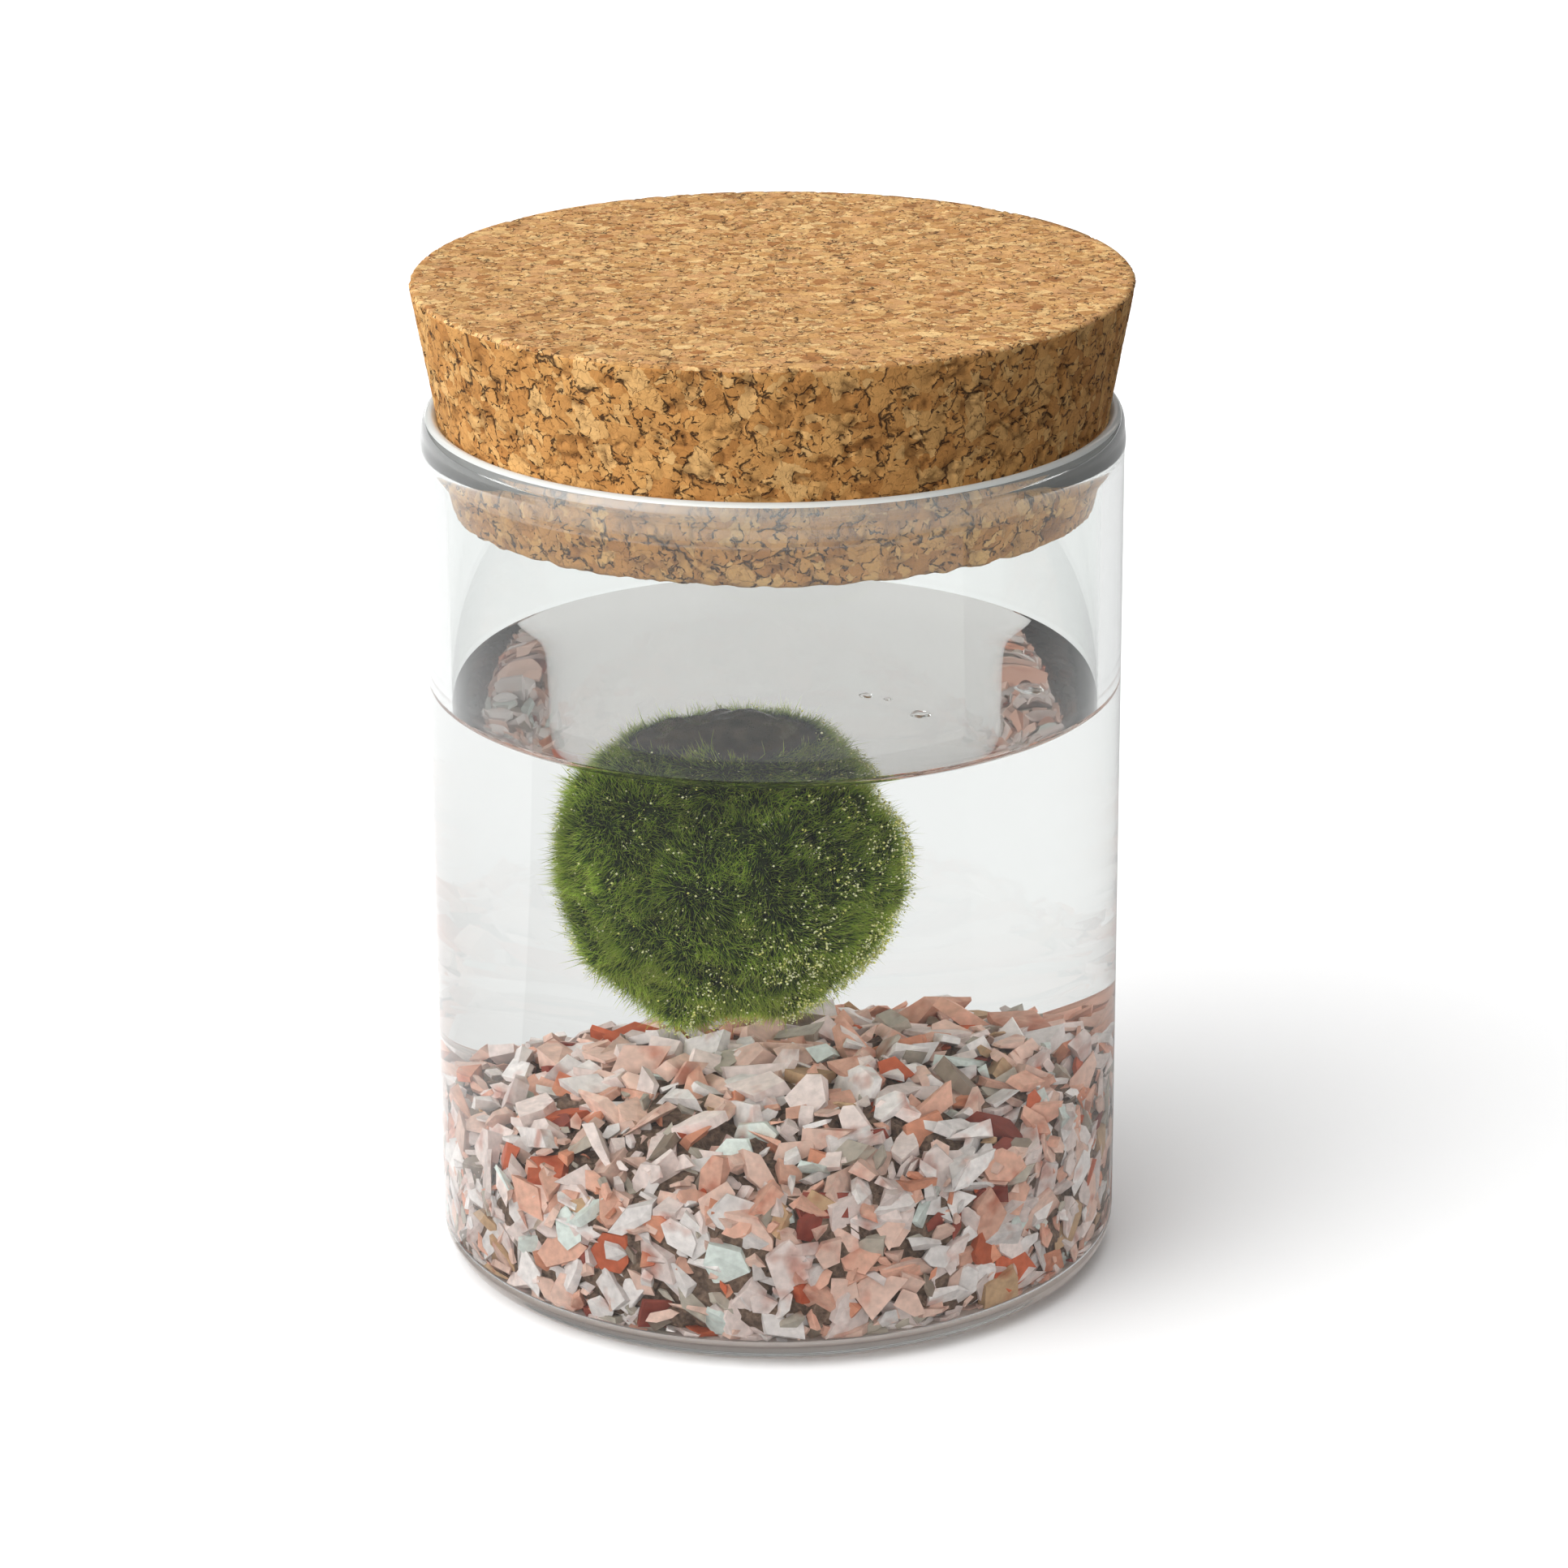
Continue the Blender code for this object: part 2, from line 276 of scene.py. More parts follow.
def noise_node(tree, vector, scale, detail=3.0, roughness=0.55, distortion=0.0):
    """A noise texture. Its outputs are the value and the colour."""
    sockets = {"Vector": vector, "Scale": scale, "Detail": detail, "Roughness": roughness}
    made = add(tree, "ShaderNodeTexNoise", {**sockets, "Distortion": distortion})
    return made.outputs[0], made.outputs[1]


def object_place(tree):
    """The surface point in the object's own coordinates, in metres."""
    return add(tree, "ShaderNodeTexCoord").outputs["Object"]


def bump(tree, height, distance, strength=1.0):
    """A bump's normal."""
    sockets = {"Height": height, "Distance": distance, "Strength": strength}
    return add(tree, "ShaderNodeBump", sockets).outputs["Normal"]


def principled(name):
    """A new material and its tree and Principled node."""
    mat = bpy.data.materials.new(name)
    mat.use_nodes = True
    return mat, mat.node_tree, mat.node_tree.nodes["Principled BSDF"]


def srgb(red, green, blue):
    """A colour given in 0 to 255 screen values, as the linear one that nodes take."""
    return tuple(
        (c / 255 / 12.92) if c <= 10 else ((c / 255 + 0.055) / 1.055) ** 2.4
        for c in (red, green, blue)
    )


# -------- mesh helpers


def new_object(name, data):
    """A new object in the scene."""
    made = bpy.data.objects.new(name, data)
    bpy.context.scene.collection.objects.link(made)
    return made


def dress(piece, *looks):
    """Give a piece its materials and put it on the one body."""
    piece.data.materials.clear()
    for look in looks:
        piece.data.materials.append(look)
    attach(piece, "root")
    return piece


def show(name, mesh, *looks):
    """A mesh as a new piece, with its materials."""
    return dress(new_object(name, mesh), *looks)


def arc(centre, radius, start, end, steps):
    """Points of an arc in the XZ plane, with both ends. Angles are in degrees from +X."""
    angles = np.radians(np.linspace(start, end, steps + 1))
    return [(centre[0] + radius * math.cos(a), centre[1] + radius * math.sin(a)) for a in angles]


def line(start, end, steps):
    """Points of a straight line, with both ends."""
    return [tuple(p) for p in np.linspace(start, end, steps + 1)]


def turned(name, profile, segments):
    """A mesh turned about Z from a profile that starts and ends on the axis."""
    inner = np.array(profile[1:-1])
    angles = np.linspace(0.0, math.tau, segments, endpoint=False)
    rings = len(inner)
    points = np.empty((rings, segments, 3))
    points[..., 0] = inner[:, :1] * np.cos(angles)
    points[..., 1] = inner[:, :1] * np.sin(angles)
    points[..., 2] = inner[:, 1:]
    first, last = rings * segments, rings * segments + 1
    verts = points.reshape(-1, 3).tolist()
    verts += [(0.0, 0.0, profile[0][1]), (0.0, 0.0, profile[-1][1])]
    faces = []
    for j in range(segments):
        k = (j + 1) % segments
        faces.append((first, j, k))
        for i in range(rings - 1):
            a, b = i * segments, (i + 1) * segments
            faces.append((a + j, b + j, b + k, a + k))
        end = (rings - 1) * segments
        faces.append((last, end + k, end + j))
    mesh = bpy.data.meshes.new(name)
    mesh.from_pydata(verts, [], faces)
    mesh.shade_smooth()
    return mesh


def get_points(mesh):
    """A mesh's points as an array."""
    points = np.empty(len(mesh.vertices) * 3)
    mesh.vertices.foreach_get("co", points)
    return points.reshape(-1, 3)


def set_points(mesh, points):
    """Move a mesh's points to those of an array."""
    mesh.vertices.foreach_set("co", points.ravel())
    mesh.update()


def array_mesh(name, points, triangles, colours=None):
    """A mesh from arrays of points and triangles, with one colour to a point."""
    points, triangles = points.reshape(-1, 3), triangles.reshape(-1, 3)
    mesh = bpy.data.meshes.new(name)
    mesh.vertices.add(len(points))
    mesh.vertices.foreach_set("co", points.astype(np.float32).ravel())
    mesh.loops.add(len(triangles) * 3)
    mesh.loops.foreach_set("vertex_index", triangles.astype(np.int32).ravel())
    mesh.polygons.add(len(triangles))
    mesh.polygons.foreach_set("loop_start", np.arange(0, len(triangles) * 3, 3, dtype=np.int32))
    mesh.update(calc_edges=True)
    if colours is not None:
        attribute = mesh.color_attributes.new("tint", "FLOAT_COLOR", "POINT")
        attribute.data.foreach_set("color", colours.astype(np.float32).ravel())
    mesh.validate()
    return mesh


def carry(mesh, name, values):
    """Give a mesh a value for each point, which its material reads."""
    attribute = mesh.attributes.new(name, "FLOAT", "POINT")
    attribute.data.foreach_set("value", values.astype(np.float32))


def from_axis(points):
    """How far each point is from the jar's axis."""
    return np.hypot(points[:, 0], points[:, 1])


def noise_at(points, scale, offset=0.0):
    """Smooth noise from -1 to 1 at each point."""
    shift = Vector((offset, offset * 0.7, -offset))
    return np.array([noise.noise(Vector(p) * scale + shift) for p in points])


# -------- materials


def clear_material(name, colour, ior, transmission=1.0):
    """A clear smooth material. IOR is that of the inside over that of the outside."""
    mat, tree, shader = principled(name)
    clear = {"Transmission Weight": transmission, "Roughness": 0.0, "IOR": ior}
    fill(tree, shader, {"Base Color": (*colour, 1.0), **clear})
    return mat


def voronoi(tree, vector, scale, feature="F1"):
    """A Voronoi texture node."""
    return add(tree, "ShaderNodeTexVoronoi", {"Vector": vector, "Scale": scale}, feature=feature)


def vector_math(tree, operation, sockets):
    """One Vector Math node's vector."""
    return add(tree, "ShaderNodeVectorMath", sockets, operation=operation).outputs[0]


def warped(tree, place, scale, reach):
    """A place pushed about by noise, to make cells ragged."""
    push = vector_math(tree, "SUBTRACT", {0: noise_node(tree, place, scale)[1], 1: (0.5, 0.5, 0.5)})
    push = vector_math(tree, "SCALE", {0: push, "Scale": reach})
    return vector_math(tree, "ADD", {0: place, 1: push})


def mesh_value(tree, name):
    """A value that the mesh carries for each point."""
    return add(tree, "ShaderNodeAttribute", attribute_name=name).outputs["Fac"]


def three_of(tree, colour):
    """A colour's three values, as three lots drawn for a cell or a point."""
    return add(tree, "ShaderNodeSeparateColor", {0: colour}).outputs


def cork_grain(tree, place, axis, turn, size):
    """Fibres: noise drawn out along one way, which each granule turns for itself."""
    spin = times(tree, turn, math.tau)
    sockets = {"Vector": place, "Axis": axis, "Angle": spin}
    spun = add(tree, "ShaderNodeVectorRotate", sockets, rotation_type="AXIS_ANGLE").outputs[0]
    drawn_out = vector_math(tree, "MULTIPLY", {0: spun, 1: (1.0, 1.0, 0.16)})
    return noise_node(tree, drawn_out, 10.0 / size, 5.0, 0.7, 0.6)[0]


def crevice(tree, bent, edge, scale, widest, gaps):
    """Where a joint between granules is open, from 0 to 1. Noise opens some and shuts others."""
    openness = noise_node(tree, bent, scale, 3.0, 0.6)[0]
    width = remap(tree, openness, 0.60 - gaps, 0.74 - gaps, 0.0, widest)
    return remap(tree, edge, 0.0, width, 1.0, 0.0)


def cork_material(name, size, tones, streaks, gaps):
    """Pressed cork: granules of two sizes, each with its tone and grain, dark seams, and painted shade
    in its open crevices and sunk dents.

    size is the large granules' in metres, streaks the grain's contrast and gaps how many
    joints are open.
    """
    mat, tree, shader = principled(name)
    place = object_place(tree)
    bent = warped(tree, warped(tree, place, 0.8 / size, 1.0 * size), 3.5 / size, 0.26 * size)
    large_cell = voronoi(tree, bent, 1.0 / size).outputs["Color"]
    small_cell = voronoi(tree, bent, CRUMBS / size).outputs["Color"]
    large_lots = three_of(tree, large_cell)
    small_lots = three_of(tree, small_cell)
    crumbled = math_node(tree, "GREATER_THAN", large_lots[2], 0.38)
    luck = choose(tree, crumbled, large_lots[0], small_lots[0])
    colour = ramp(tree, luck, [(i / (len(tones) - 1), tone) for i, tone in enumerate(tones)])

    grain = cork_grain(tree, place, large_cell, small_lots[1], size)
    shade = remap(tree, grain, 0.3, 0.7, 1.0 - streaks, 1.0 + 0.6 * streaks)
    drift = remap(tree, noise_node(tree, place, 0.35 / size, 2.0)[0], 0.3, 0.7, 0.90, 1.08)
    for factor in (shade, drift):
        colour = blend(tree, 1.0, colour, factor, "MULTIPLY")

    large_edge = voronoi(tree, bent, 1.0 / size, "DISTANCE_TO_EDGE").outputs["Distance"]
    small_edge = voronoi(tree, bent, CRUMBS / size, "DISTANCE_TO_EDGE").outputs["Distance"]
    large_gap = crevice(tree, bent, large_edge, 1.3 / size, 0.12, gaps)
    small_gap = crevice(tree, bent, small_edge, 2.8 / size, 0.17, gaps)
    small_gap = times(tree, small_gap, math_node(tree, "MAXIMUM", crumbled, 0.25))
    gap = math_node(tree, "MAXIMUM", large_gap, small_gap)
    # Seams and pores are the cork's own marks; the crevice and dent marks are painted shade.
    stains_and_shade = (
        (remap(tree, small_edge, 0.0, 0.07, 0.26, 0.0), CORK_SEAM),
        (remap(tree, noise_node(tree, bent, 6.0 / size, 1.0)[0], 0.68, 0.74, 0.0, 0.75), CORK_PORE),
        (times(tree, gap, 0.96), CORK_CREVICE_SHADE),
        (times(tree, mesh_value(tree, "dent"), 0.55), CORK_DENT_SHADE),
    )
    for share, tone in stains_and_shade:
        colour = blend(tree, share, colour, (*srgb(*tone), 1.0))
    height = math_node(tree, "SUBTRACT", times(tree, grain, 0.3), gap)
    height = math_node(tree, "ADD", height, times(tree, luck, 0.25))
    normal = bump(tree, height, 0.12 * size)
    dull = {"Roughness": 0.85, "Specular IOR Level": 0.25}
    fill(tree, shader, {"Base Color": colour, "Normal": normal, **dull})
    return mat


def moss_core_material():
    """Inside of the moss, painted dark as the shade where little light reaches, and a brownish grey on
    it under the wet film.
    """
    mat, tree, shader = principled("moss_core")
    clumps = noise_node(tree, object_place(tree), 420.0, 4.0)[0]
    moss = ramp(tree, clumps, [(0.3, (34, 38, 26)), (0.5, (46, 54, 34)), (0.75, (70, 86, 44))])
    under_film = ramp(tree, clumps, [(0.35, (58, 54, 42)), (0.7, (104, 96, 78))])
    colour = blend(tree, mesh_value(tree, "wet"), moss, under_film)
    normal = bump(tree, clumps, 0.4 * MM, 0.8)
    dull = {"Roughness": 0.9, "IOR": WET_INDEX}
    fill(tree, shader, {"Base Color": colour, "Normal": normal, **dull})
    return mat


def moss_hair_material():
    """Filaments, painted shade at the root and painted glow at the tip, with light passing through.

    The mesh's tint holds how far along a point is, the filament's luck and its clump's.
    """
    mat, tree, shader = principled("moss_filament")
    tint = add(tree, "ShaderNodeAttribute", attribute_name="tint").outputs["Color"]
    along, luck, clump = three_of(tree, tint)[:3]
    body = ramp(tree, along, HAIR_SHADE_TO_GLOW_TONES)
    body = blend(tree, 1.0, body, remap(tree, luck, 0.0, 1.0, 0.75, 1.25), "MULTIPLY")
    body = blend(tree, 1.0, body, remap(tree, clump, 0.0, 1.0, 0.60, 1.30), "MULTIPLY")
    fill(tree, shader, {"Base Color": body, "Roughness": 0.5, "IOR": WET_INDEX})
    glow = add(tree, "ShaderNodeBsdfTranslucent", {"Color": body})
    both = add(tree, "ShaderNodeMixShader", {0: 0.75, 1: shader.outputs[0], 2: glow.outputs[0]})
    tree.links.new(both.outputs[0], tree.nodes["Material Output"].inputs["Surface"])
    return mat


def bubble_glint_material():
    """Tiny oxygen bubbles, painted near white yellow as their glints, which show as bright points."""
    mat, tree, shader = principled("oxygen")
    shade = noise_node(tree, object_place(tree), 900.0, 1.0)[0]
    # Near white yellow: painted glints of light on the bubbles.
    colour = ramp(tree, shade, [(0.35, (250, 246, 130)), (0.6, (255, 255, 206))])
    fill(tree, shader, {"Base Color": colour, "Roughness": 0.1})
    return mat


def chip_material():
    """Crushed coral and shell: each chip's own tint, mottled, wet and slightly glossy."""
    mat, tree, shader = principled("coral_chip")
    place = object_place(tree)
    tint = add(tree, "ShaderNodeAttribute", attribute_name="tint").outputs["Color"]
    mottle = noise_node(tree, place, 900.0, 4.0, 0.6)[0]
    stain = noise_node(tree, place, 260.0, 2.0)[0]
    colour = blend(tree, 1.0, tint, remap(tree, mottle, 0.3, 0.7, 0.80, 1.12), "MULTIPLY")
    stained = remap(tree, stain, 0.57, 0.74, 0.0, 0.62)
    colour = blend(tree, stained, colour, (*srgb(205, 120, 84), 1.0), "MULTIPLY")
    rough = remap(tree, mottle, 0.3, 0.7, 0.35, 0.6)
    normal = bump(tree, mottle, 0.08 * MM, 0.6)
    fill(tree, shader, {"Base Color": colour, "Roughness": rough, "Normal": normal, "IOR": 1.17})
    return mat


def grit_shade_material():
    """The fines between the chips, painted dark as the shade between them."""
    mat, tree, shader = principled("grit")
    grains = noise_node(tree, object_place(tree), 1500.0, 3.0)[0]
    colour = ramp(tree, grains, [(0.35, (84, 66, 54)), (0.65, (136, 110, 92))])
    normal = bump(tree, grains, 0.3 * MM)
    fill(tree, shader, {"Base Color": colour, "Roughness": 0.9, "Normal": normal})
    return mat


# -------- the jar


def mouth_radius(depth):
    """The jar's inner radius at a depth below the rim: the bore, flared, then the round lip."""
    if depth >= LIP_HEIGHT:
        reach = max(MOUTH_DEPTH - depth, 0.0)
        return BORE + MOUTH_ARC - math.sqrt(MOUTH_ARC**2 - reach**2)
    neck = mouth_radius(LIP_HEIGHT)
    half = (JAR_RADIUS - neck) / 2
    return neck + half * (1.0 - math.sqrt(1.0 - (1.0 - depth / LIP_HEIGHT) ** 2))


def face_centres(mesh):
    """The centre of each face as an array."""
    centres = np.empty(len(mesh.polygons) * 3)
    mesh.polygons.foreach_get("center", centres)
    return centres.reshape(-1, 3)


def jar_profile():
    """From the middle of the floor, up inside, over the lip, down outside to the base."""
    profile = [(0.0, FLOOR)] + line((MM, FLOOR), (BORE - FLOOR_FILLET - MM, FLOOR), 6)
    profile += arc((BORE - FLOOR_FILLET, FLOOR + FLOOR_FILLET), FLOOR_FILLET, -90, 0, 10)
    profile += line((BORE, FLOOR + FLOOR_FILLET + MM), (BORE, CONTACT), 12)
    profile += line((BORE, CONTACT + 2 * MM), (BORE, RIM - MOUTH_DEPTH - MM), 5)
    profile += [(mouth_radius(d), RIM - d) for d in np.linspace(MOUTH_DEPTH, LIP_HEIGHT, 14)]
    inner = mouth_radius(LIP_HEIGHT)
    half = (JAR_RADIUS - inner) / 2
    for angle in np.linspace(math.pi, 0.0, 26)[1:]:
        height = RIM - LIP_HEIGHT * (1 - math.sin(angle))
        profile.append((inner + half + half * math.cos(angle), height))
    for depth in np.linspace(LIP_HEIGHT, BEAD_DEPTH, 22)[1:]:
        turn = math.pi * (depth - LIP_HEIGHT) / (BEAD_DEPTH - LIP_HEIGHT)
        profile.append((JAR_RADIUS + BEAD * math.sin(turn) ** 2, RIM - depth))
    profile += line((JAR_RADIUS, RIM - BEAD_DEPTH - 3 * MM), (JAR_RADIUS, HEEL_RADIUS + MM), 12)
    profile += arc((JAR_RADIUS - HEEL_RADIUS, HEEL_RADIUS), HEEL_RADIUS, 0, -90, 14)
    profile += line((JAR_RADIUS - HEEL_RADIUS - MM, 0.0), (MM, 0.0), 6)
    return profile + [(0.0, 0.0)]


def glass_kinds(centres):
    """Which of the glass's looks each face has, by where its centre lies."""
    height = centres[:, 2]
    inside = (from_axis(centres) < BORE + 2 * TINY) & (height > FLOOR - TINY)
    kinds = np.full(len(centres), DRY, dtype=np.int32)
    kinds[inside & (height < CONTACT)] = WET
    kinds[inside & (height < FLOOR + PALE_FLOOR_HEIGHT)] = PALE_FLOOR
    kinds[height > RIM - BEAD_DEPTH] = MOUTH
    kinds[height > RIM - LIP_HEIGHT] = LIP
    kinds[height > RIM - LIP_HEIGHT * CREST_SHARE] = CREST
    return kinds


def build_jar():
    """The jar: a truly round wall, a flared mouth and a rounded lip with a slight bead."""
    mesh = turned("clear_jar", jar_profile(), 256)
    jar = show("clear_jar", mesh, *[clear_material(*look) for look in GLASS_LOOKS])
    mesh.polygons.foreach_set("material_index", glass_kinds(face_centres(mesh)))
    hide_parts("glass_jar")


# -------- the stopper


def cork_side(z):
    """The stopper's radius at a height: its taper, pressed in where the glass holds it."""
    share = (z - CORK_BOTTOM) / (CORK_TOP - CORK_BOTTOM)
    free = CORK_BOTTOM_RADIUS + share * (CORK_TOP_RADIUS - CORK_BOTTOM_RADIUS)
    return min(free, mouth_radius(RIM - z) - 0.03 * MM) if z < RIM else free


def crevices(points, size):
    """How deep in a joint between granules each point is, from 0 to 1."""
    depth = np.empty(len(points))
    for i, p in enumerate(points):
        spot = Vector(p)
        spot = spot + noise.noise_vector(spot * (0.9 / size)) * (0.35 * size)
        near = noise.voronoi(spot / size)[0]
        depth[i] = 1.0 - (near[1] - near[0]) / 0.22
    return np.clip(depth, 0.0, 1.0)


def open_joints(points, share, strength, scale, offset):
    """Where the joints between granules stand open, from 0 to 1."""
    return np.clip(share + strength * noise_at(points, scale, offset), 0.0, 1.0)


def cork_profile():
    """From the middle of the top, down the taper, to the middle of the bottom."""
    heights = np.linspace(CORK_TOP - CORK_EDGE, CORK_BOTTOM + CORK_EDGE, 84)
    profile = [(0.0, CORK_TOP)]
    profile += line((0.4 * MM, CORK_TOP), (CORK_TOP_RADIUS - CORK_EDGE, CORK_TOP), 56)
    profile += [(cork_side(z), z) for z in heights]
    profile += line((CORK_BOTTOM_RADIUS - CORK_EDGE, CORK_BOTTOM), (0.4 * MM, CORK_BOTTOM), 12)
    return profile + [(0.0, CORK_BOTTOM)]


def crumble_side(sides):
    """Sink the side's joints and break its lower edge. Gives how deep in a joint points are."""
    dent = crevices(sides, 0.8 * GRANULE) * open_joints(sides, 0.3, 2.6, 420.0, 5.0)
    sink = 0.45 * dent + 0.10 * np.abs(noise_at(sides, 900.0))
    near_bottom = np.clip(1.0 - (sides[:, 2] - CORK_BOTTOM) / (1.2 * MM), 0.0, 1.0)
    sink += 0.45 * near_bottom * np.clip(noise_at(sides, 520.0, 2.0) + 0.25, 0.0, 1.0)
    outward = sides[:, :2] / from_axis(sides)[:, None]
    sides[:, :2] -= outward * (sink * MM)[:, None]
    sides[:, 2] += 0.45 * MM * near_bottom * np.clip(noise_at(sides, 480.0, 7.0) + 0.1, 0.0, 1.0)
    return dent


def build_cork():
    """The stopper, pitted between the granules, its lower edge crumbled."""
    mesh = turned("cork_granules", cork_profile(), 600)
    points = get_points(mesh)
    dent = np.zeros(len(points))
    radius = from_axis(points)
    side = (radius > CORK_BOTTOM_RADIUS - 0.6 * MM) & (points[:, 2] < CORK_TOP)
    sides = points[side]
    dent[side] = crumble_side(sides)
    points[side] = sides
    flat = np.isclose(points[:, 2], CORK_TOP)
    open_joint = open_joints(points[flat], 0.2, 2.2, 520.0, 1.0)
    dent[flat] = crevices(points[flat], TOP_GRANULE) * open_joint
    points[flat, 2] -= 0.18 * MM * dent[flat]
    set_points(mesh, points)
    carry(mesh, "dent", dent)
    side_look = cork_material("cork_side", GRANULE, CORK_SIDE_TONES, streaks=0.16, gaps=0.08)
    top_look = cork_material("cork_top", TOP_GRANULE, CORK_TOP_TONES, streaks=0.22, gaps=0.06)
    cork = show("cork_granules", mesh, side_look, top_look)
    on_top = face_centres(mesh)[:, 2] > CORK_TOP - 0.3 * MM
    mesh.polygons.foreach_set("material_index", on_top.astype(np.int32))
    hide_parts("cork_stopper")


# -------- the water


def water_profile(edge):
    """From the middle of the surface, out to the glass and down, to the middle of the floor."""
    low = FLOOR + STAND_OFF
    profile = [(0.0, OPEN_LEVEL)]
    profile += line((0.4 * MM, OPEN_LEVEL), (edge - 8 * MM, OPEN_LEVEL), 90)
    profile += line((edge - 7.8 * MM, OPEN_LEVEL), (edge, OPEN_LEVEL), 44)
    profile += line((edge, OPEN_LEVEL - MM), (edge, FLOOR + FLOOR_FILLET + MM), 12)
    profile += arc((edge - FLOOR_FILLET, low + FLOOR_FILLET), FLOOR_FILLET, 0, -90, 10)
    profile += line((edge - FLOOR_FILLET - MM, low), (MM, low), 6)
    return profile + [(0.0, low)]


def film_rise(high, patch, ripple):
    """How far the water is drawn up over moss that stands some mm above its open level.

    Patches of the moss are wet and carry an uneven film, which eases in over FILM_EASE.
    """
    wet = np.clip(high - 0.4 + 1.4 * patch, 0.0, 1.0)
    film = high - 0.35 + wet * (0.75 + 0.25 * ripple)
    return FILM_EASE * MM * math.log1p(math.exp(min(film / FILM_EASE, 40.0)))


def surface_rise(spots, edge, core):
    """How far each spot of the surface stands above the open level: at the glass and ball."""
    radius = from_axis(spots)
    rise = MENISCUS * np.exp(-(edge - radius) / MENISCUS_REACH)
    tree = BVHTree.FromObject(core, bpy.context.evaluated_depsgraph_get())
    ripple = noise_at(spots, 520.0, 4.0)
    patch = noise_at(spots, 210.0, 6.0)
    for i, spot in enumerate(spots):
        down = tree.ray_cast(Vector((spot[0], spot[1], CORK_BOTTOM)), Vector((0, 0, -1)))[0]
        if down is not None:
            rise[i] += film_rise((down.z - OPEN_LEVEL) / MM, patch[i], ripple[i])
    return rise


def build_water(core):
    """The water: drawn up at the glass, and over the ball's top in a wet film."""
    edge = BORE - STAND_OFF
    mesh = turned("still_water", water_profile(edge), 360)
    points = get_points(mesh)
    top = points[:, 2] > OPEN_LEVEL - 0.5 * MM
    points[top, 2] += surface_rise(points[top], edge, core)
    set_points(mesh, points)
    surface = clear_material("clear_water", SURFACE_SHADE_TINT, SURFACE_IOR)
    water = show("still_water", mesh, surface, clear_material("water_at_glass", (1.0, 1.0, 1.0), 1.0))
    centres = face_centres(mesh)
    at_wall = from_axis(centres) > edge - TINY
    at_glass = at_wall | (centres[:, 2] < OPEN_LEVEL - 0.5 * MM)
    mesh.polygons.foreach_set("material_index", at_glass.astype(np.int32))
    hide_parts("water")


def build_droplets():
    """Drops standing on the water, each a flattened uneven bead."""
    drop = bmesh.new()
    bmesh.ops.create_icosphere(drop, subdivisions=4, radius=1.0)
    shape = np.array([v.co for v in drop.verts])
    faces = np.array([[v.index for v in f.verts] for f in drop.faces])
    drop.free()
    all_points, all_faces = [], []
    for i, (x, y, size) in enumerate(DROPLETS):
        swell = 1.0 + 0.3 * noise_at(shape, 1.3, 10.0 * i)
        points = shape * swell[:, None] * (size * np.array(DROPLET_FORM)) * MM
        place = np.array([x * MM, y * MM, OPEN_LEVEL + (0.28 * size + 0.05) * MM])
        all_points.append(points + place)
        all_faces.append(faces + i * len(shape))
    mesh = array_mesh("surface_droplets", np.concatenate(all_points), np.concatenate(all_faces))
    mesh.shade_smooth()
    look = clear_material("droplet_water", (0.99, 0.995, 0.995), WATER_IOR)
    drops = show("surface_droplets", mesh, look)


# -------- the moss ball


def wetness(points):
    """How far each point lies in the film of water on the ball's top, from 0 to 1."""
    high = (points[:, 2] - OPEN_LEVEL) / MM
    return np.clip((high + 1.2 + 1.1 * noise_at(points, 330.0, 6.0)) / 0.35, 0.0, 1.0)


def welded_copy(name, node):
    """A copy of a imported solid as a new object, with its doubled corners welded."""
    copy = new_object(name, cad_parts[node].data.copy())
    bm = bmesh.new()
    bm.from_mesh(copy.data)
    bmesh.ops.remove_doubles(bm, verts=bm.verts, dist=TINY)
    bm.to_mesh(copy.data)
    bm.free()
    return copy


def build_core():
    """The ball's lumpy body, a filament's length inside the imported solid."""
    core = welded_copy("moss_core", "moss_ball")
    smoother = core.modifiers.new("smoother", "SUBSURF")
    smoother.levels = 2
    smoother.render_levels = 2
    graph = bpy.context.evaluated_depsgraph_get()
    mesh = bpy.data.meshes.new_from_object(core.evaluated_get(graph))
    core.modifiers.clear()
    core.data = mesh
    points = get_points(mesh)
    normals = np.empty(len(points) * 3)
    mesh.vertices.foreach_get("normal", normals)
    folds = -np.abs(noise_at(points, 150.0, 3.0))
    tufts = noise_at(points, 520.0, 9.0)
    push = -FUZZ + (1.3 * folds + 0.35 * tufts + 0.2) * MM
    points = points + normals.reshape(-1, 3) * push[:, None]
    set_points(mesh, points)
    carry(mesh, "wet", wetness(points))
    mesh.shade_smooth()
    mesh.name = "moss_core"
    dress(core, moss_core_material())
    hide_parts("moss_ball")
    return core


def surface_samples(mesh, count, rng):
    """Random points spread evenly over a triangle mesh, with their normals."""
    mesh.calc_loop_triangles()
    corners = np.empty(len(mesh.loop_triangles) * 3, dtype=np.int32)
    mesh.loop_triangles.foreach_get("vertices", corners)
    corners = corners.reshape(-1, 3)
    points = get_points(mesh)
    a, b, c = points[corners[:, 0]], points[corners[:, 1]], points[corners[:, 2]]
    crossed = np.cross(b - a, c - a)
    area = np.linalg.norm(crossed, axis=1)
    pick = rng.choice(len(corners), size=count, p=area / area.sum())
    u, v = rng.random(count), rng.random(count)
    flip = u + v > 1
    u[flip], v[flip] = 1 - u[flip], 1 - v[flip]
    place = a[pick] + (b - a)[pick] * u[:, None] + (c - a)[pick] * v[:, None]
    return place, crossed[pick] / area[pick][:, None]


def unit(vectors):
    """Vectors scaled to length one."""
    return vectors / np.maximum(np.linalg.norm(vectors, axis=1), 1e-9)[:, None]


